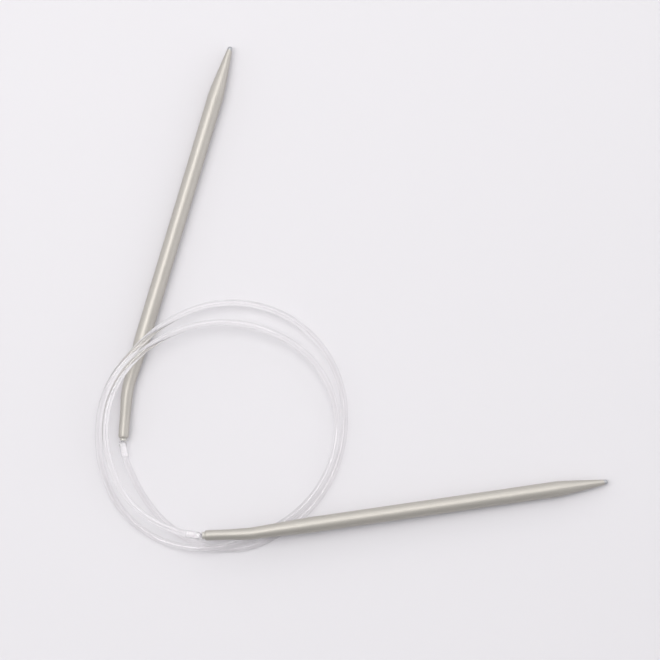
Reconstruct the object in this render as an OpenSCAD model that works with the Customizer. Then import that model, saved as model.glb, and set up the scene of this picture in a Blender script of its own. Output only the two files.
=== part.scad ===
// Circular knitting needle: two bent metal needles joined by one clear nylon cable,
// lying flat on a table with the cable sprung into a coil of a little over two turns.
// Millimetres, +Z up, the table is the plane z = 0.

/* [Needles] */
// Diameter of the working part of each needle
needle_d = 5; // [4.5:0.25:5.25]
// Length of each needle along its axis, point to rear end
needle_len = 131; // [120:1:140]
// Length of the tapered point
point_len = 16.5; // [12:0.5:20]
// Diameter of the rounded end of the point
point_end_d = 1.6; // [1:0.1:1.8]
// Diameter of the slim rear end that takes the cable
rear_d = 3.35; // [3.2:0.05:3.6]
// Bend between the rear end and the working part, needle A
bend_a = 12.2; // [10:0.2:13]
// Bend between the rear end and the working part, needle B
bend_b = 6.2; // [5:0.2:7]

/* [Cable] */
// Diameter of the nylon cable
cable_d = 2; // [1.8:0.1:2]
// Radial clearance of the cable's end in its ferrule
swivel_gap = 0.06; // [0.03:0.01:0.1]

/* [Joins] */
// Outside diameter of the crimped ferrule and of the strain relief's ball
ferrule_d = 2.4; // [2.3:0.05:2.5]
// Depth of the socket drilled into the rear end
socket_depth = 12; // [11.5:0.5:14]
// How far the ferrule shows beyond the metal
ferrule_show = 0.8; // [0.5:0.1:1]
// Length of the strain relief beyond the centre of its ball
relief_len = 3.95; // [3.5:0.05:4.5]

/* [Hidden] */
$fn = 64;

// Needle profile, measured along the axis from the rear end
needle_r = needle_d / 2;
rear_r = rear_d / 2;
waist_r = 1.9;            // radius where the bend is
rear_straight = 9;        // end of the parallel rear stretch
bend_start = 12.6;        // start of the bend
bend_r = 30;              // centreline radius of the bend
swell_end = 33;           // where the full diameter is reached
rim_len = 1;              // rounding of the rear rim, along the needle
rim_drop = 0.4;           // and across it
weld_len = 0.4;           // how far one stretch of a needle runs inside the next
weld_r = 1.5;
bend_overrun = 1;         // degrees that the bend runs on inside the working part
lip = 0.03;               // height of the fine edge where the working part starts
point_power = 1.15;       // how full the point's outline is
point_end_r = point_end_d / 2;

// Join
ferrule_r = ferrule_d / 2;
end_r = cable_d / 2 - 0.1;            // the cable's end is squeezed a little by the crimp
ferrule_len = 9;                      // inside the socket
bead_r = 1.1;                         // upset bead that holds the cable behind the ferrule
bead_len = 2;
ball_gap = 0.05;                      // between the ferrule's mouth and the relief's ball
ball_at = ferrule_show + ball_gap + ferrule_r;   // ball centre, beyond the rear end
relief_tip_r = 1.15;
relief_seat = -0.3;                   // where the cable's end is seated, from the ball's centre
relief_hole_r = cable_d / 2 + 0.03;

// Where the needles lie: centre of each rear end and heading of the rear end
rear_a = [-77.5, -46.7, needle_r];
heading_a = 85.4;
relief_heading_a = -79;
pitch_b = 1.7;                        // needle B rises off the table over the cable
rear_b = [-51.2, -77.9, needle_r + (needle_len - point_len) * sin(pitch_b)];
heading_b = 2;
relief_heading_b = 170;

// Route of the cable: a coil about this centre, as [radius, height] every route_step
// degrees of travel, starting route_start degrees round from +X
coil_x = -45.7;
coil_y = -42.8;
route_start = 200;
route_step = 20;
route = [
    // down from needle A to the table, and under needle B
    [32.5, 2.4], [33.8, 1.5], [36.2, 1.0], [38.9, 1.0], [39.9, 1.0], [39.2, 1.0], [38.9, 1.0],
    // round the outside, springing up to pass over needle A
    [39.0, 1.0], [39.4, 1.3], [40.4, 1.8], [41.0, 2.4], [40.9, 3.1], [40.1, 4.2], [38.9, 5.6],
    [37.6, 6.8], [37.2, 7.2],
    // down to the table, over its own first run, and under needle B again
    [38.6, 5.8], [39.7, 3.8], [41.0, 2.0], [42.2, 1.2], [41.9, 1.1], [39.9, 3.1], [37.9, 2.5],
    [36.8, 1.0], [36.8, 1.1], [37.0, 2.1],
    // the inner turn, higher, over needle A again and on to needle B's rear end
    [37.1, 2.3], [36.7, 3.0], [35.7, 4.2], [34.3, 5.6], [33.5, 6.7], [33.4, 7.5], [33.9, 8.0],
    [35.1, 8.1], [36.5, 7.7], [37.4, 7.2], [37.8, 6.8], [38.1, 6.4], [37.0, 6.1], [35.3, 6.0]
];
cable_sides = 8;
coil_rings = 77;

function heading(angle, pitch = 0) =
    [cos(angle) * cos(pitch), sin(angle) * cos(pitch), sin(pitch)];

// Smooth value of one column of the route at u, counted in rows
function row(i) = route[max(0, min(len(route) - 1, i))];
function smooth(u, column) =
    let (i = min(floor(u), len(route) - 2), t = u - i,
         a = row(i - 1)[column], b = row(i)[column], c = row(i + 1)[column], d = row(i + 2)[column])
    (2 * b + (c - a) * t + (2 * a - 5 * b + 4 * c - d) * t * t
        + (3 * b - a - 3 * c + d) * t * t * t) / 2;
function coil_point(travel) =
    let (u = (travel - route_start) / route_step, r = smooth(u, 0))
    [coil_x + r * cos(travel), coil_y + r * sin(travel), max(cable_d / 2, smooth(u, 1))];

// Ball centres, at the mouth of each ferrule, and the stretch of cable inside each relief
ball_a = rear_a - ball_at * heading(heading_a);
ball_b = rear_b - ball_at * heading(heading_b, -pitch_b);
relief_dir_a = heading(relief_heading_a);
relief_dir_b = heading(relief_heading_b);
travel_from = 202;
travel_to = 966;
travel_step = (travel_to - travel_from) / (coil_rings - 1);
cable_path = concat(
    [ball_a + relief_seat * relief_dir_a, ball_a + relief_len * relief_dir_a],
    [for (i = [0 : coil_rings - 1]) coil_point(travel_from + i * travel_step)],
    [ball_b + relief_len * relief_dir_b, ball_b + relief_seat * relief_dir_b]
);

// A round tube swept along a path that is never vertical
module sweep(path, radius, sides) {
    last = len(path) - 1;
    function tangent(i) =
        let (d = path[min(i + 1, last)] - path[max(i - 1, 0)]) d / norm(d);
    function ring(i) =
        let (t = tangent(i), side = cross([0, 0, 1], t), n = side / norm(side), up = cross(t, n))
        [for (k = [0 : sides - 1])
            path[i] + radius * (cos(360 * k / sides) * n + sin(360 * k / sides) * up)];
    points = [for (i = [0 : last]) each ring(i)];
    walls = [for (i = [0 : last - 1], k = [0 : sides - 1])
        let (a = i * sides + k, b = i * sides + (k + 1) % sides)
        each [[a, a + sides, b], [b, a + sides, b + sides]]];
    start_cap = [[for (k = [0 : sides - 1]) k]];
    end_cap = [[for (k = [sides - 1 : -1 : 0]) last * sides + k]];
    polyhedron(points = points, faces = concat(start_cap, walls, end_cap));
}

// A turned solid along +X from [distance, radius] pairs, closed on its axis
module turned(outline) {
    rotate([0, 90, 0])
        rotate_extrude()
            polygon(concat([[0, outline[0][0]]], [for (p = outline) [p[1], p[0]]],
                           [[0, outline[len(outline) - 1][0]]]));
}

// Puts a join's own axis, +X into the needle, where a needle lies
module at_rear(place, angle, pitch) {
    translate(place)
        rotate([0, 0, angle])
            rotate([0, pitch, 0])
                children();
}

// One needle, rear end at the origin, bent to the left in its own XY plane
module shank(bend) {
    arc_len = bend_r * bend * PI / 180;
    front_at = bend_start + arc_len;
    working_len = needle_len - front_at;
    full_at = swell_end - front_at;
    rim = [for (a = [0 : 15 : 90])
        [rim_len * (1 - sin(a)), rear_r - rim_drop * (1 - cos(a))]];
    rear = concat([for (i = [6 : -1 : 0]) rim[i]],
                  [[rear_straight, rear_r], [bend_start, waist_r], [bend_start, weld_r],
                   [bend_start + weld_len, weld_r]]);
    front = [[-weld_len, waist_r - weld_len], [lip, waist_r + lip], [full_at, needle_r]];
    point = [for (t = [0 : 0.1 : 0.9])
        [working_len - point_len + (point_len - point_end_r) * t,
         point_end_r + (needle_r - point_end_r) * (1 - pow(t, point_power))]];
    cap = [for (a = [0 : 15 : 90])
        [working_len - point_end_r * (1 - sin(a)), point_end_r * cos(a)]];
    difference() {
        union() {
            turned(rear);
            translate([bend_start, bend_r, 0])
                rotate([0, 0, -90])
                    rotate_extrude(angle = bend + bend_overrun)
                        translate([bend_r, 0])
                            circle(r = waist_r);
            translate([bend_start + bend_r * sin(bend), bend_r * (1 - cos(bend)), 0])
                rotate([0, 0, bend])
                    turned(concat(front, point, cap));
        }
        rotate([0, 90, 0])
            translate([0, 0, -1])
                cylinder(r = ferrule_r, h = socket_depth + 1);
        rotate([0, 90, 0])
            translate([0, 0, socket_depth])
                cylinder(r1 = ferrule_r, r2 = 0, h = 0.7);
    }
}

// Thin metal sleeve crimped round the cable's end
module ferrule() {
    outer_r = ferrule_r - 0.01;
    rotate([0, 90, 0])
        difference() {
            translate([0, 0, -ferrule_show])
                cylinder(r = outer_r, h = ferrule_show + ferrule_len);
            translate([0, 0, -ferrule_show - 1])
                cylinder(r = end_r + swivel_gap, h = ferrule_show + ferrule_len + 2);
        }
}

// The stretch of cable held inside the needle, with its bead behind the ferrule
module cable_end() {
    bead_from = ferrule_len + 0.3;
    turned([[-ferrule_show + ball_gap, end_r], [bead_from, end_r], [bead_from + 0.2, bead_r],
            [bead_from + bead_len - 0.4, bead_r], [bead_from + bead_len, bead_r - 0.4]]);
}

// Moulded strain relief along +X from its ball's centre, drilled for the cable
module strain_relief() {
    difference() {
        union() {
            sphere(r = ferrule_r);
            turned([[0, ferrule_r], [relief_len - 0.1, relief_tip_r],
                    [relief_len, relief_tip_r - 0.08]]);
        }
        rotate([0, 90, 0])
            translate([0, 0, relief_seat])
                cylinder(r = relief_hole_r, h = relief_len - relief_seat + 1);
    }
}

module shank_a() {
    color("#b9b6ae")
        at_rear(rear_a, heading_a, 0)
            rotate([180, 0, 0])
                shank(bend_a);
}

module shank_b() {
    color("#b9b6ae")
        at_rear(rear_b, heading_b, pitch_b)
            shank(bend_b);
}

module ferrule_a() {
    color("#d8d4c8")
        at_rear(rear_a, heading_a, 0)
            ferrule();
}

module ferrule_b() {
    color("#d8d4c8")
        at_rear(rear_b, heading_b, pitch_b)
            ferrule();
}

module cable_end_a() {
    color("#eef0f4")
        at_rear(rear_a, heading_a, 0)
            cable_end();
}

module cable_end_b() {
    color("#eef0f4")
        at_rear(rear_b, heading_b, pitch_b)
            cable_end();
}

module strain_relief_a() {
    color("#e6e9f0")
        translate(ball_a)
            rotate([0, 0, relief_heading_a])
                strain_relief();
}

module strain_relief_b() {
    color("#e6e9f0")
        translate(ball_b)
            rotate([0, 0, relief_heading_b])
                strain_relief();
}

module cable() {
    color("#f4f5f8")
        sweep(cable_path, cable_d / 2, cable_sides);
}

shank_a();
shank_b();
ferrule_a();
ferrule_b();
cable_end_a();
cable_end_b();
strain_relief_a();
strain_relief_b();
cable();
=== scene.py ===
"""Circular knitting needle: two bent, lacquered metal needles and one clear nylon cable.

The scene is in metres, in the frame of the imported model: +Z up, the table at z = 0. The part's
own sizes, its outlines and the cable's route are in millimetres, and new_object scales them.
"""

import math

import bmesh
import bpy
import numpy as np
from mathutils import Matrix, Vector


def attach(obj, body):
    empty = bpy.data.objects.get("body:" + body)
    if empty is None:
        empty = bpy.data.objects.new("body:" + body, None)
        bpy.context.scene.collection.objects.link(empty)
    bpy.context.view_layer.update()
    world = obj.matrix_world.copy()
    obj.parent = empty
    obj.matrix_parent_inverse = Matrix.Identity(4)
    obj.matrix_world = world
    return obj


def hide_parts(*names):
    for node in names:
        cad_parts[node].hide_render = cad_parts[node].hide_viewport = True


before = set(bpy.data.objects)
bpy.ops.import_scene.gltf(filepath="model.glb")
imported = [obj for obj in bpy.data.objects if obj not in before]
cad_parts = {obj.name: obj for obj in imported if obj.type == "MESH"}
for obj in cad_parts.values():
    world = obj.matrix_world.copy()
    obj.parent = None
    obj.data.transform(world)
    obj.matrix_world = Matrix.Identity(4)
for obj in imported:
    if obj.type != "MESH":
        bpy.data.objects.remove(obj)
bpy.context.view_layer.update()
MM = 0.001

# ---------------------------------------------------------------- camera

CAMERA_AT = (-0.01095, -0.0119, 1.4785)
CAMERA_LENS = 250.0

cam_data = bpy.data.cameras.new("Camera")
cam_data.lens = CAMERA_LENS
cam_data.sensor_width = 36.0
cam_data.clip_start = 0.05
cam_data.clip_end = 20.0
camera = bpy.data.objects.new("Camera", cam_data)
bpy.context.scene.collection.objects.link(camera)
camera.location = CAMERA_AT
camera.rotation_euler = (0.0, 0.0, 0.0)
bpy.context.scene.camera = camera
bpy.context.scene.view_settings.view_transform = "Standard"

# ---------------------------------------------------------------- the part's own sizes, in mm

# Needles, measured from the rear end
NEEDLE_R = 2.5
NEEDLE_LEN = 131.0
POINT_LEN = 16.5
POINT_END_R = 0.8
POINT_POWER = 1.15
REAR_R = 1.675
WAIST_R = 1.9
REAR_STRAIGHT = 9.0
BEND_START = 12.6
BEND_R = 30.0
SWELL_END = 33.0
LIP = 0.03
RIM_LEN = 1.0
RIM_DROP = 0.4
SOCKET_R = 1.2
SOCKET_DEPTH = 12.0
DRILL_POINT_LEN = 0.65

# Joins
FERRULE_R = 1.19
FERRULE_SHOW = 0.8
FERRULE_LEN = 9.0
FERRULE_BORE_R = 0.96
CRIMPS_AT = (2.4, 4.6, 6.8)
BALL_AT = 2.05
BALL_R = 1.2
RELIEF_LEN = 3.95
RELIEF_TIP_R = 1.15
RELIEF_SEAT = -0.3
RELIEF_HOLE_R = 1.03
CABLE_R = 1.0

# Where the needles and the reliefs lie: rear end, then degrees
REAR_A, HEADING_A, PITCH_A, BEND_A = (-77.5, -46.7, 2.5), 85.4, 0.0, -12.2
REAR_B, HEADING_B, PITCH_B, BEND_B = (-51.2, -77.9, 5.8967), 2.0, 1.7, 6.2
RELIEF_HEADING_A = -79.0
RELIEF_HEADING_B = 170.0

# How finely the round pieces are made
NEEDLE_SIDES = 72
FERRULE_SIDES = 64
RELIEF_SIDES = 56
CABLE_SIDES = 40

# U runs along each piece's surface, this many mm to a unit, and V once round it
UV_UNIT = 10.0
# How many mm of U the band that closes a sleeve takes
CLOSING_BAND = 0.2

UP = Vector((0, 0, 1))


def heading(angle, pitch=0.0):
    """Direction at angle degrees round from +X, rising by pitch degrees."""
    a, p = math.radians(angle), math.radians(pitch)
    return Vector((math.cos(a) * math.cos(p), math.sin(a) * math.cos(p), math.sin(p)))


BALL_CENTRE_A = Vector(REAR_A) - BALL_AT * heading(HEADING_A)
BALL_CENTRE_B = Vector(REAR_B) - BALL_AT * heading(HEADING_B, -PITCH_B)
RELIEF_DIR_A = heading(RELIEF_HEADING_A)
RELIEF_DIR_B = heading(RELIEF_HEADING_B)

# ---------------------------------------------------------------- mesh helpers


def new_object(name, verts, faces, uvs):
    """A smooth mesh from points in mm. uvs is one (u, v) for each corner of each face."""
    mesh = bpy.data.meshes.new(name)
    mesh.from_pydata([tuple(c * MM for c in v) for v in verts], [], faces)
    layer = mesh.uv_layers.new(name="UVMap")
    layer.data.foreach_set("uv", [c for face in uvs for corner in face for c in corner])
    mesh.polygons.foreach_set("use_smooth", [True] * len(mesh.polygons))
    mesh.validate()
    mesh.update()
    bm = bmesh.new()
    bm.from_mesh(mesh)
    bmesh.ops.recalc_face_normals(bm, faces=bm.faces)
    bm.to_mesh(mesh)
    bm.free()
    obj = bpy.data.objects.new(name, mesh)
    bpy.context.scene.collection.objects.link(obj)
    return obj


def round_ring(centre, side, up, radius, sides):
    """The points of one circle, going round from side towards up."""
    ring = []
    for k in range(sides):
        t = 2 * math.pi * k / sides
        ring.append(centre + radius * (math.cos(t) * side + math.sin(t) * up))
    return ring


def run_along(outline):
    """Length of an outline up to each of its points, in units of U."""
    steps = [0.0]
    for (a, ra), (b, rb) in zip(outline, outline[1:]):
        steps.append(steps[-1] + math.hypot(b - a, rb - ra))
    return [s / UV_UNIT for s in steps]


def ringed(name, rings, along, ends=(None, None), closed=False):
    """A closed skin over rings of equal size, with U at each ring from along.

    It joins its last ring to its first if closed. Otherwise each end is a point, or a flat
    face where the point is None.
    """
    n, count = len(rings[0]), len(rings)
    verts = [tuple(p) for ring in rings for p in ring]
    faces, uvs = [], []
    for i in range(count if closed else count - 1):
        j = (i + 1) % count
        u0 = along[i]
        u1 = along[j] if j else u0 + CLOSING_BAND / UV_UNIT
        for k in range(n):
            kk = (k + 1) % n
            v0, v1 = k / n, (k + 1) / n
            faces.append((i * n + k, i * n + kk, j * n + kk, j * n + k))
            uvs.append([(u0, v0), (u0, v1), (u1, v1), (u1, v0)])
    if closed:
        return new_object(name, verts, faces, uvs)
    for ring_at, point, flip in ((0, ends[0], True), (count - 1, ends[1], False)):
        base, u = ring_at * n, along[ring_at]
        if point is None:
            loop = [base + k for k in range(n)]
            faces.append(tuple(reversed(loop)) if flip else tuple(loop))
            uvs.append([(u, k / n) for k in range(n)])
            continue
        verts.append(tuple(point))
        tip = len(verts) - 1
        for k in range(n):
            a, b = base + k, base + (k + 1) % n
            faces.append((b, a, tip) if flip else (a, b, tip))
            uvs.append([(u, k / n)] * 3)
    return new_object(name, verts, faces, uvs)


def lathe(name, outline, place, axis, sides, closed=False):
    """A shape turned about an axis through place, from (distance along the axis, radius).

    A closed outline is a loop, as in a sleeve. An open one ends on the axis.
    """
    axis = Vector(axis).normalized()
    side = UP.cross(axis).normalized()
    up = axis.cross(side)
    place = Vector(place)
    rings = [round_ring(place + s * axis, side, up, radius, sides) for s, radius in outline]
    ends = [place + outline[0][0] * axis, place + outline[-1][0] * axis]
    return ringed(name, rings, run_along(outline), ends, closed)


# ---------------------------------------------------------------- cable, made first

# A coil about this centre, as (radius, height) every ROUTE_STEP degrees of travel
COIL_X, COIL_Y = -45.7, -42.8
ROUTE_START, ROUTE_STEP = 200.0, 20.0
ROUTE = [
    # down from needle A to the table, and under needle B
    (32.5, 2.4), (33.8, 1.5), (36.2, 1.0), (38.9, 1.0), (39.9, 1.0), (39.2, 1.0), (38.9, 1.0),
    # round the outside, springing up to pass over needle A
    (39.0, 1.0), (39.4, 1.3), (40.4, 1.8), (41.0, 2.4), (40.9, 3.1), (40.1, 4.2), (38.9, 5.6),
    (37.6, 6.8), (37.2, 7.2),
    # down to the table, over its own first run, and under needle B again
    (38.6, 5.8), (39.7, 3.8), (41.0, 2.0), (42.2, 1.2), (41.9, 1.1), (39.9, 3.1), (37.9, 2.5),
    (36.8, 1.0), (36.8, 1.1), (37.0, 2.1),
    # the inner turn, higher, over needle A again and on to needle B's rear end
    (37.1, 2.3), (36.7, 3.0), (35.7, 4.2), (34.3, 5.6), (33.5, 6.7), (33.4, 7.5), (33.9, 8.0),
    (35.1, 8.1), (36.5, 7.7), (37.4, 7.2), (37.8, 6.8), (38.1, 6.4), (37.0, 6.1), (35.3, 6.0),
]
TRAVEL_FROM, TRAVEL_TO = 202.0, 966.0
COIL_POINTS = 900
# At each end a smooth bridge replaces this much travel, between the relief and the coil
BRIDGE_TRAVEL = 9.0
BRIDGE_POINTS = 14
# Places on the cable inside a relief, from the ball's centre
IN_RELIEF = (RELIEF_SEAT, 1.0, 2.5, RELIEF_LEN)
CABLE_STEP = 0.9
# The rounded edge of a cut end, as (distance from the cut, share of the radius)
CUT_EDGE = ((0.0, 0.9), (0.03, 0.97), (0.1, 1.0))


def smooth_row(u, column):
    """Catmull-Rom value of one column of the route at u, counted in rows."""
    i = min(int(math.floor(u)), len(ROUTE) - 2)
    t = u - i
    a, b, c, d = (ROUTE[max(0, min(len(ROUTE) - 1, i + k))][column] for k in (-1, 0, 1, 2))
    square = (2 * a - 5 * b + 4 * c - d) * t * t
    cube = (3 * b - a - 3 * c + d) * t**3
    return (2 * b + (c - a) * t + square + cube) / 2


def coil_point(travel):
    """Place on the coil after so many degrees of travel. It never sinks into the table."""
    u = (travel - ROUTE_START) / ROUTE_STEP
    r, a = smooth_row(u, 0), math.radians(travel)
    height = max(CABLE_R, smooth_row(u, 1))
    return Vector((COIL_X + r * math.cos(a), COIL_Y + r * math.sin(a), height))


def bridge(start, start_dir, end, end_dir):
    """Points between two places, on a curve that leaves and arrives in the directions given."""
    reach = (end - start).length
    out = []
    for t in np.linspace(0, 1, BRIDGE_POINTS + 2)[1:-1]:
        t = float(t)
        a, b = 2 * t**3 - 3 * t**2 + 1, t**3 - 2 * t**2 + t
        c, d = 3 * t**2 - 2 * t**3, t**3 - t**2
        out.append(a * start + b * reach * start_dir + c * end + d * reach * end_dir)
    return out


def resample(points, step):
    """The same line with its points evenly spaced, about step apart."""
    run = np.concatenate([[0], np.cumsum(np.linalg.norm(np.diff(points, axis=0), axis=1))])
    at = np.linspace(0, run[-1], int(round(run[-1] / step)) + 1)
    return np.stack([np.interp(at, run, points[:, k]) for k in range(3)], axis=1)


def cable_line():
    """The cable's centreline, from inside relief A to inside relief B."""
    first, last = TRAVEL_FROM + BRIDGE_TRAVEL, TRAVEL_TO - BRIDGE_TRAVEL
    coil = [coil_point(float(t)) for t in np.linspace(first, last, COIL_POINTS)]
    in_a = [BALL_CENTRE_A + s * RELIEF_DIR_A for s in IN_RELIEF]
    in_b = [BALL_CENTRE_B + s * RELIEF_DIR_B for s in reversed(IN_RELIEF)]
    onto = (coil[1] - coil[0]).normalized()
    off = (coil[-1] - coil[-2]).normalized()
    points = [
        *in_a,
        *bridge(in_a[-1], RELIEF_DIR_A, coil[0], onto),
        *coil,
        *bridge(coil[-1], off, in_b[0], -RELIEF_DIR_B),
        *in_b,
    ]
    return resample(np.array([list(p) for p in points]), CABLE_STEP)


def swept(name, points, radius, sides):
    """A round tube along a line that is never vertical, with rounded edges on its cut ends."""
    points = [Vector(p) for p in points]
    last = len(points) - 1
    rings, along, run = [], [], 0.0
    for i in range(last + 1):
        edge = [(0.0, 1.0)]
        if i == 0:
            edge = CUT_EDGE
        elif i == last:
            edge = [(-inset, share) for inset, share in reversed(CUT_EDGE)]
        if i:
            run += (points[i] - points[i - 1]).length
        tangent = (points[min(i + 1, last)] - points[max(i - 1, 0)]).normalized()
        side = UP.cross(tangent).normalized()
        up = tangent.cross(side)
        for shift, share in edge:
            centre = points[i] + shift * tangent
            rings.append(round_ring(centre, side, up, radius * share, sides))
            along.append((run + shift) / UV_UNIT)
    return ringed(name, rings, along)


line = cable_line()
cable = swept("cable_tube", line, CABLE_R, CABLE_SIDES)

# ---------------------------------------------------------------- needles

# How much sooner than REAR_STRAIGHT the swell towards the waist begins, in mm
SWELL_EASE = 2.0
# The swell's corners are eased by a running mean over this many places each side
EASE_STEP = 0.25
EASE_REACH = 10
# Spacing of the rings along the body, in mm
BODY_STEP = 0.75


def body_radius(bend):
    """A function that gives a needle's radius at a distance from its rear end."""
    front_at = BEND_START + BEND_R * math.radians(abs(bend))
    knots = [
        (0.0, REAR_R), (REAR_STRAIGHT - SWELL_EASE, REAR_R), (BEND_START, WAIST_R),
        (front_at, WAIST_R + LIP), (SWELL_END, NEEDLE_R), (NEEDLE_LEN, NEEDLE_R),
    ]
    s = np.arange(0, NEEDLE_LEN, EASE_STEP)
    raw = np.interp(s, [k[0] for k in knots], [k[1] for k in knots])
    kernel = np.hanning(2 * EASE_REACH + 3)[1:-1]
    kernel /= kernel.sum()
    padded = np.concatenate(
        [np.full(EASE_REACH, raw[0]), raw, np.full(EASE_REACH, raw[-1])]
    )
    eased = np.minimum(np.convolve(padded, kernel, "valid"), NEEDLE_R)
    return lambda x: float(np.interp(x, s, eased))


def needle_outline(bend):
    """(distance from the rear end, radius), from the socket's floor round the rim to the point."""
    socket = [(SOCKET_DEPTH + DRILL_POINT_LEN, 0.02), (SOCKET_DEPTH, SOCKET_R)]
    socket += [(x, SOCKET_R) for x in (11.0, 9.0, 6.0, 3.0, 1.0, 0.3)]
    mouth = [(0.03, SOCKET_R), (0.008, SOCKET_R + 0.012), (0.0, SOCKET_R + 0.035)]
    rim = []
    for a in np.radians(np.linspace(90, 0, 19)):
        rim.append((RIM_LEN * (1 - math.sin(a)), REAR_R - RIM_DROP * (1 - math.cos(a))))
    taper_from = NEEDLE_LEN - POINT_LEN
    radius_at = body_radius(bend)
    body_from = RIM_LEN + BODY_STEP
    body = [(float(x), radius_at(x)) for x in np.arange(body_from, taper_from, BODY_STEP)]
    point = []
    for t in np.linspace(0, 1, 48):
        r = POINT_END_R + (NEEDLE_R - POINT_END_R) * (1 - float(t) ** POINT_POWER)
        point.append((taper_from + (POINT_LEN - POINT_END_R) * float(t), r))
    cap = []
    for a in np.radians(np.linspace(90, 4, 16)[1:]):
        cap.append((NEEDLE_LEN - POINT_END_R * (1 - math.cos(a)), POINT_END_R * math.sin(a)))
    return [*socket, *mouth, *rim, *body, *point, *cap]


def build_needle(name, rear, angle, pitch, bend):
    """One needle as a single closed skin, its drilled rear end at rear.

    bend is in degrees, positive to the left. A positive pitch lowers the point.
    """
    turn = Matrix.Rotation(math.radians(angle), 4, "Z")
    tilt = Matrix.Rotation(math.radians(pitch), 4, "Y")
    place = Matrix.Translation(Vector(rear)) @ turn @ tilt
    total = math.radians(bend)
    sign = 1.0 if bend > 0 else -1.0
    arc = BEND_R * abs(total)

    def on_arc(a):
        return Vector((BEND_START + BEND_R * math.sin(abs(a)), sign * BEND_R * (1 - math.cos(a)), 0))

    def local(s):
        """Centre and heading at s mm from the rear end, before the needle is placed."""
        if s <= BEND_START:
            return Vector((s, 0, 0)), 0.0
        if s <= BEND_START + arc:
            a = sign * (s - BEND_START) / BEND_R
            return on_arc(a), a
        beyond = s - BEND_START - arc
        return on_arc(total) + beyond * Vector((math.cos(total), math.sin(total), 0)), total

    outline = needle_outline(bend)
    rings = []
    for s, radius in outline:
        centre, a = local(s)
        side = Vector((-math.sin(a), math.cos(a), 0))
        ring = round_ring(centre, side, UP, radius, NEEDLE_SIDES)
        rings.append([place @ p for p in ring])
    ends = [place @ local(outline[0][0] + 0.01)[0], place @ local(NEEDLE_LEN)[0]]
    return ringed(name, rings, run_along(outline), ends)


needle_a = build_needle("needle_a_rod", REAR_A, HEADING_A, PITCH_A, BEND_A)
needle_b = build_needle("needle_b_rod", REAR_B, HEADING_B, PITCH_B, BEND_B)

# ---------------------------------------------------------------- ferrules and strain reliefs

# One crimp ring, as (distance from its middle, depth)
CRIMP = ((-0.7, 0.0), (-0.45, 0.03), (0.0, 0.07), (0.45, 0.03), (0.7, 0.0))


def build_ferrule(name, rear, angle, pitch):
    """A thin crimped sleeve: a rolled lip outside the needle, and crimp rings inside it."""
    lip, r, bore = -FERRULE_SHOW, FERRULE_R, FERRULE_BORE_R
    # the lip's rounded mouth, then its outer edge, groove and the seat at the needle's rim
    outline = [
        (lip + 0.07, bore), (lip + 0.015, bore + 0.03), (lip, bore + 0.08), (lip, r - 0.09),
        (lip + 0.02, r - 0.03), (lip + 0.08, r), (lip + 0.42, r), (lip + 0.5, r - 0.03),
        (lip + 0.56, r - 0.085), (lip + 0.68, r - 0.095), (lip + 0.76, r - 0.05), (0.02, r),
    ]
    for middle in CRIMPS_AT:
        outline += [(middle + shift, r - depth) for shift, depth in CRIMP]
    outline += [(FERRULE_LEN - 0.06, r), (FERRULE_LEN, r - 0.05), (FERRULE_LEN, bore + 0.05)]
    outline += [(FERRULE_LEN - 0.05, bore), (6.0, bore), (3.0, bore), (1.0, bore)]
    return lathe(name, outline, rear, heading(angle, -pitch), FERRULE_SIDES, closed=True)


def build_relief(name, ball, direction):
    """The moulded strain relief: a ball root in the ferrule's mouth, and a sleeve on the cable."""
    tip, r, hole = RELIEF_LEN, RELIEF_TIP_R, RELIEF_HOLE_R
    root = []
    for a in np.radians(np.linspace(3, 88, 22)):
        root.append((-BALL_R * math.cos(a), BALL_R * math.sin(a)))
    root += [(0.18, BALL_R), (0.42, BALL_R - 0.012), (0.62, BALL_R - 0.05), (0.95, BALL_R - 0.065)]
    # soft mould rings, and a rounded mouth
    sleeve = [
        (1.3, r), (1.7, r + 0.005), (2.1, r - 0.005), (2.5, r), (2.9, r - 0.01), (3.3, r - 0.005),
        (tip - 0.25, r - 0.01), (tip - 0.1, r - 0.025), (tip - 0.03, r - 0.045),
        (tip, r - 0.075), (tip - 0.01, r - 0.1),
    ]
    bore = [(tip - x, hole) for x in (0.06, 1.0, 2.0, 3.0)]
    bore += [(RELIEF_SEAT + 0.03, hole), (RELIEF_SEAT - 0.03, hole - 0.06)]
    return lathe(name, [*root, *sleeve, *bore], ball, direction, RELIEF_SIDES)


ferrule_a = build_ferrule("ferrule_a_sleeve", REAR_A, HEADING_A, PITCH_A)
ferrule_b = build_ferrule("ferrule_b_sleeve", REAR_B, HEADING_B, PITCH_B)
relief_a = build_relief("relief_a_moulding", BALL_CENTRE_A, RELIEF_DIR_A)
relief_b = build_relief("relief_b_moulding", BALL_CENTRE_B, RELIEF_DIR_B)

# ---------------------------------------------------------------- node helpers


def new_material(name):
    """A material, its node tree and its main shader."""
    mat = bpy.data.materials.new(name)
    mat.use_nodes = True
    return mat, mat.node_tree, mat.node_tree.nodes["Principled BSDF"]


def coordinates(tree):
    """The place on the object in metres, and the UV map."""
    node = tree.nodes.new("ShaderNodeTexCoord")
    return node.outputs["Object"], node.outputs["UV"]


def stretched(tree, uv, scale):
    """The UV map scaled by so much along and round the piece."""
    node = tree.nodes.new("ShaderNodeMapping")
    node.inputs["Scale"].default_value = (*scale, 1.0)
    tree.links.new(uv, node.inputs["Vector"])
    return node.outputs["Vector"]


def noise(tree, vector, scale, detail=2.0, roughness=0.5):
    """Cloudy noise from 0 to 1."""
    node = tree.nodes.new("ShaderNodeTexNoise")
    node.inputs["Scale"].default_value = scale
    node.inputs["Detail"].default_value = detail
    node.inputs["Roughness"].default_value = roughness
    tree.links.new(vector, node.inputs["Vector"])
    return node.outputs["Fac"]


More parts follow.
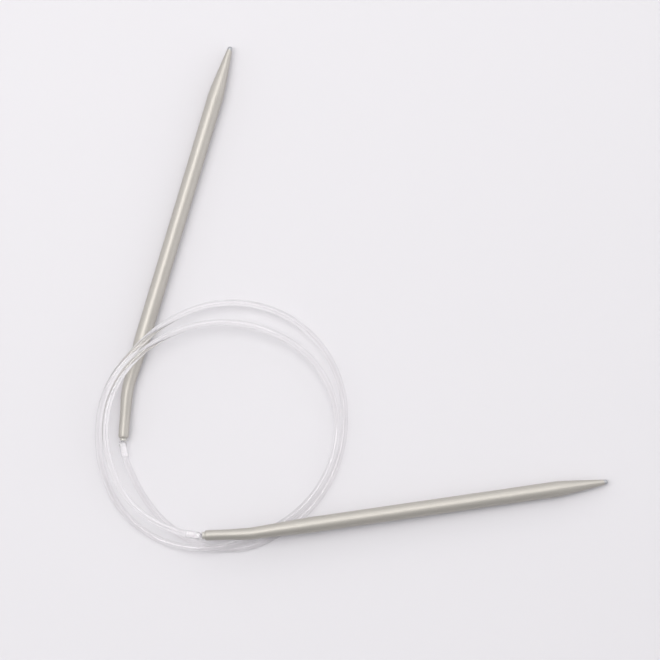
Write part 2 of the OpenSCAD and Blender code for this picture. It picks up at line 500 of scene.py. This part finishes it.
def spread(tree, value, low, high, from_low=0.0, from_high=1.0):
    """The value between from_low and from_high, spread over low to high and kept there."""
    node = tree.nodes.new("ShaderNodeMapRange")
    node.inputs["From Min"].default_value = from_low
    node.inputs["From Max"].default_value = from_high
    node.inputs["To Min"].default_value = low
    node.inputs["To Max"].default_value = high
    tree.links.new(value, node.inputs["Value"])
    return node.outputs["Result"]


def maths(tree, operation, a, b):
    """A sum, product or the like. a and b are outputs or numbers."""
    node = tree.nodes.new("ShaderNodeMath")
    node.operation = operation
    for socket, value in zip(node.inputs, (a, b)):
        if isinstance(value, (int, float)):
            socket.default_value = value
        else:
            tree.links.new(value, socket)
    return node.outputs["Value"]


def mix_colour(tree, factor, a, b):
    """From a, where factor is 0, to b, where it is 1. a and b are outputs or colours."""
    node = tree.nodes.new("ShaderNodeMix")
    node.data_type = "RGBA"
    tree.links.new(factor, node.inputs["Factor"])
    for socket, value in ((node.inputs[6], a), (node.inputs[7], b)):
        if isinstance(value, tuple):
            socket.default_value = (*value, 1.0)
        else:
            tree.links.new(value, socket)
    return node.outputs[2]


def bumped(tree, shader, layers):
    """Stacks bumps, each a (height, distance in metres), onto a shader's normal."""
    last = None
    for height, distance in layers:
        node = tree.nodes.new("ShaderNodeBump")
        node.inputs["Strength"].default_value = 1.0
        node.inputs["Distance"].default_value = distance
        tree.links.new(height, node.inputs["Height"])
        if last is not None:
            tree.links.new(last, node.inputs["Normal"])
        last = node.outputs["Normal"]
    tree.links.new(last, shader.inputs["Normal"])


# ---------------------------------------------------------------- materials

LACQUER_DARK, LACQUER_LIGHT = (0.38, 0.361, 0.33), (0.425, 0.403, 0.37)
LACQUER_CLOUD = (0.435, 0.414, 0.379)
BARE_METAL = (0.34, 0.35, 0.37)
# How far behind the point's end the lacquer is rubbed thin, in mm
POINT_WEAR = 2.6
FERRULE_CLEAN, FERRULE_STAINED = (0.56, 0.545, 0.505), (0.48, 0.465, 0.43)
NYLON_CLEAR, NYLON_CLOUDY = (0.965, 0.957, 0.963), (0.945, 0.937, 0.943)
NYLON_SHADOW = (0.86, 0.855, 0.86, 1.0)
CARD, CARD_PATCH = (0.604, 0.591, 0.611), (0.612, 0.599, 0.619)


def lacquer_colour(tree, place, along, flakes):
    """Pearl grey with flakes and faint clouds, rubbed to bare metal at the end of the point."""
    colour = mix_colour(tree, flakes, LACQUER_DARK, LACQUER_LIGHT)
    clouds = spread(tree, noise(tree, place, 220.0, 3.0), 0.0, 0.25, 0.35, 0.75)
    colour = mix_colour(tree, clouds, colour, LACQUER_CLOUD)
    point_end = run_along(needle_outline(BEND_A))[-1]
    near_end = spread(tree, along, 0.0, 1.0, point_end - POINT_WEAR / UV_UNIT, point_end)
    scuffed = maths(tree, "ADD", near_end, noise(tree, place, 1400.0, 3.0))
    worn = spread(tree, scuffed, 0.0, 0.9, 0.8, 1.0)
    return mix_colour(tree, worn, colour, BARE_METAL)


def lacquer_material():
    """Satin pearl-grey lacquer with fine metal flake and the marks of handling."""
    mat, tree, shader = new_material("pearl_lacquer")
    place, uv = coordinates(tree)
    split = tree.nodes.new("ShaderNodeSeparateXYZ")
    tree.links.new(uv, split.inputs["Vector"])
    cells = tree.nodes.new("ShaderNodeTexVoronoi")
    cells.inputs["Scale"].default_value = 7000.0
    tree.links.new(place, cells.inputs["Vector"])
    flakes = spread(tree, cells.outputs["Color"], 0.0, 1.0)
    colour = lacquer_colour(tree, place, split.outputs["X"], flakes)
    tree.links.new(colour, shader.inputs["Base Color"])
    handling = noise(tree, stretched(tree, uv, (6.0, 60.0)), 1.6, 4.0, 0.6)
    handled = spread(tree, handling, 0.40, 0.46, 0.3, 0.7)
    rough = maths(tree, "ADD", handled, spread(tree, flakes, -0.02, 0.03))
    tree.links.new(rough, shader.inputs["Roughness"])
    shader.inputs["Metallic"].default_value = 0.45
    shader.inputs["IOR"].default_value = 1.5
    shader.inputs["Coat Weight"].default_value = 0.08
    shader.inputs["Coat Roughness"].default_value = 0.30
    shader.inputs["Coat IOR"].default_value = 1.5
    peel = noise(tree, place, 900.0, 2.0)
    bumped(tree, shader, [(peel, 0.000012), (flakes, 0.0000012)])
    return mat


def ferrule_material():
    """Satin, slightly warm metal with turned rings and small stains."""
    mat, tree, shader = new_material("ferrule_metal")
    place, uv = coordinates(tree)
    rings = noise(tree, stretched(tree, uv, (220.0, 3.0)), 4.0, 3.0)
    stains = noise(tree, place, 1500.0, 3.0)
    colour = mix_colour(tree, stains, FERRULE_CLEAN, FERRULE_STAINED)
    tree.links.new(colour, shader.inputs["Base Color"])
    tree.links.new(spread(tree, rings, 0.38, 0.52), shader.inputs["Roughness"])
    shader.inputs["Metallic"].default_value = 0.6
    bumped(tree, shader, [(rings, 0.000006), (stains, 0.000008)])
    return mat


def plain_shadow(tree, shader):
    """Lets lamp light straight through a clear shader, dimmed, instead of gathering it."""
    output = next(n for n in tree.nodes if n.type == "OUTPUT_MATERIAL")
    rays = tree.nodes.new("ShaderNodeLightPath")
    through = tree.nodes.new("ShaderNodeBsdfTransparent")
    through.inputs["Color"].default_value = NYLON_SHADOW
    both = tree.nodes.new("ShaderNodeMixShader")
    tree.links.new(rays.outputs["Is Shadow Ray"], both.inputs["Fac"])
    tree.links.new(shader.outputs["BSDF"], both.inputs[1])
    tree.links.new(through.outputs["BSDF"], both.inputs[2])
    tree.links.new(both.outputs["Shader"], output.inputs["Surface"])


def nylon_material(name, haze, clearness):
    """Clear nylon with faint clouds, lengthwise drawing lines and small ripples."""
    mat, tree, shader = new_material(name)
    place, uv = coordinates(tree)
    drawn = noise(tree, stretched(tree, uv, (0.5, 30.0)), 2.0, 3.0)
    ripples = noise(tree, place, 160.0, 2.0)
    clouds = noise(tree, place, 500.0, 3.0)
    colour = mix_colour(tree, clouds, NYLON_CLEAR, NYLON_CLOUDY)
    tree.links.new(colour, shader.inputs["Base Color"])
    hazy = spread(tree, clouds, haze, haze + 0.05)
    rough = maths(tree, "ADD", hazy, spread(tree, drawn, 0.0, 0.03))
    tree.links.new(rough, shader.inputs["Roughness"])
    shader.inputs["Transmission Weight"].default_value = clearness
    shader.inputs["IOR"].default_value = 1.53
    bumped(tree, shader, [(ripples, 0.000004), (drawn, 0.0000002)])
    plain_shadow(tree, shader)
    return mat


def table_material():
    """Smooth pale card with a faint grain."""
    mat, tree, shader = new_material("table_card")
    place, _ = coordinates(tree)
    grain = noise(tree, place, 900.0, 3.0)
    patches = noise(tree, place, 6.0, 2.0)
    tree.links.new(mix_colour(tree, patches, CARD, CARD_PATCH), shader.inputs["Base Color"])
    shader.inputs["Roughness"].default_value = 0.62
    shader.inputs["Specular IOR Level"].default_value = 0.25
    bumped(tree, shader, [(grain, 0.000008)])
    return mat


lacquer = lacquer_material()
ferrule_metal = ferrule_material()
cable_nylon = nylon_material("cable_nylon", haze=0.07, clearness=0.94)
relief_nylon = nylon_material("relief_nylon", haze=0.10, clearness=0.90)

for piece, look in (
    (needle_a, lacquer), (needle_b, lacquer),
    (ferrule_a, ferrule_metal), (ferrule_b, ferrule_metal),
    (relief_a, relief_nylon), (relief_b, relief_nylon),
    (cable, cable_nylon),
):
    piece.data.materials.append(look)

# The cable's ends inside the needles are the frame's own
for node in ("cable_end_a", "cable_end_b"):
    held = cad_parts[node]
    held.data.materials.clear()
    held.data.materials.append(cable_nylon)

# ---------------------------------------------------------------- riding and standing in

for piece, body, node, slot in (
    (needle_a, "needle_a", "shank_a", "lacquered_aluminium"),
    (needle_b, "needle_b", "shank_b", "lacquered_aluminium"),
    (ferrule_a, "needle_a", "ferrule_a", "ferrule_metal"),
    (ferrule_b, "needle_b", "ferrule_b", "ferrule_metal"),
    (relief_a, "cable", "strain_relief_a", "clear_nylon"),
    (relief_b, "cable", "strain_relief_b", "clear_nylon"),
    (cable, "cable", "cable", "clear_nylon"),
):
    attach(piece, body)
    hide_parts(node)

# ---------------------------------------------------------------- table and light

# The table's top is a hair under z = 0, so that it doesn't coincide with what lies on it
TABLE_AT = (0.0, 0.0, -0.00002)

bpy.ops.mesh.primitive_grid_add(x_subdivisions=8, y_subdivisions=8, size=6.0)
table = bpy.context.object
table.name = "table_top"
table.location = TABLE_AT
table.data.materials.append(table_material())

# The room: bright walls at the left and the right, a dimmer one at the back and a dark one in
# front. Each is (direction towards it, brightness, how tightly it gathers round that direction).
ROOM = [
    ((-1, 0, 0), 1.25, 1.5), ((1, 0, 0), 1.75, 1.5), ((0, 1, 0), 0.55, 1.5), ((0, -1, 0), 0.05, 1.5),
]
ROOM_COLOUR = (0.975, 0.975, 1.0, 1.0)


def light_room():
    """The world's light, which is the sum of the room's walls."""
    world = bpy.data.worlds.new("World")
    bpy.context.scene.world = world
    world.use_nodes = True
    tree = world.node_tree
    background = tree.nodes["Background"]
    background.inputs["Color"].default_value = ROOM_COLOUR
    outward = tree.nodes.new("ShaderNodeTexCoord").outputs["Generated"]
    brightness = 0.0
    for direction, amount, gathered in ROOM:
        facing = tree.nodes.new("ShaderNodeVectorMath")
        facing.operation = "DOT_PRODUCT"
        facing.inputs[1].default_value = direction
        tree.links.new(outward, facing.inputs[0])
        share = maths(tree, "MAXIMUM", facing.outputs["Value"], 0.0)
        share = maths(tree, "POWER", share, gathered)
        share = maths(tree, "MULTIPLY", share, amount)
        brightness = maths(tree, "ADD", share, brightness)
    tree.links.new(brightness, background.inputs["Strength"])


# Lamps, as (name, degrees round from +X, degrees above the table, watts, width in metres)
LAMPS = [
    ("back_high", 92.0, 73.0, 5.8, 1.0),
    ("back_low", 84.0, 38.0, 5.6, 1.3),
    ("left_high", 178.0, 73.0, 4.6, 0.55),
    ("left_low", 170.0, 55.0, 2.9, 0.55),
    ("back_left", 140.0, 57.0, 2.2, 0.70),
    ("back_right", 45.0, 64.0, 2.0, 0.64),
    ("front", 270.0, 62.0, 0.6, 0.75),
]
LAMP_COLOUR = (1.0, 0.995, 0.985)
LAMP_DISTANCE = 1.5
LAMPS_AIM_AT = Vector((-0.011, -0.012, 0.0))


def soft_lamp(name, azimuth, elevation, power, size):
    """A round soft lamp, aimed at the middle of the object."""
    data = bpy.data.lights.new(name, "AREA")
    data.shape = "DISK"
    data.size = size
    data.energy = power
    data.color = LAMP_COLOUR
    lamp = bpy.data.objects.new(name, data)
    # its light reaches what is under the nylon by plain_shadow, so it isn't seen through it too
    lamp.visible_transmission = False
    bpy.context.scene.collection.objects.link(lamp)
    out = heading(azimuth, elevation)
    lamp.location = LAMPS_AIM_AT + out * LAMP_DISTANCE
    lamp.rotation_mode = "QUATERNION"
    lamp.rotation_quaternion = (-out).to_track_quat("-Z", "Y")


light_room()
for lamp_row in LAMPS:
    soft_lamp(*lamp_row)
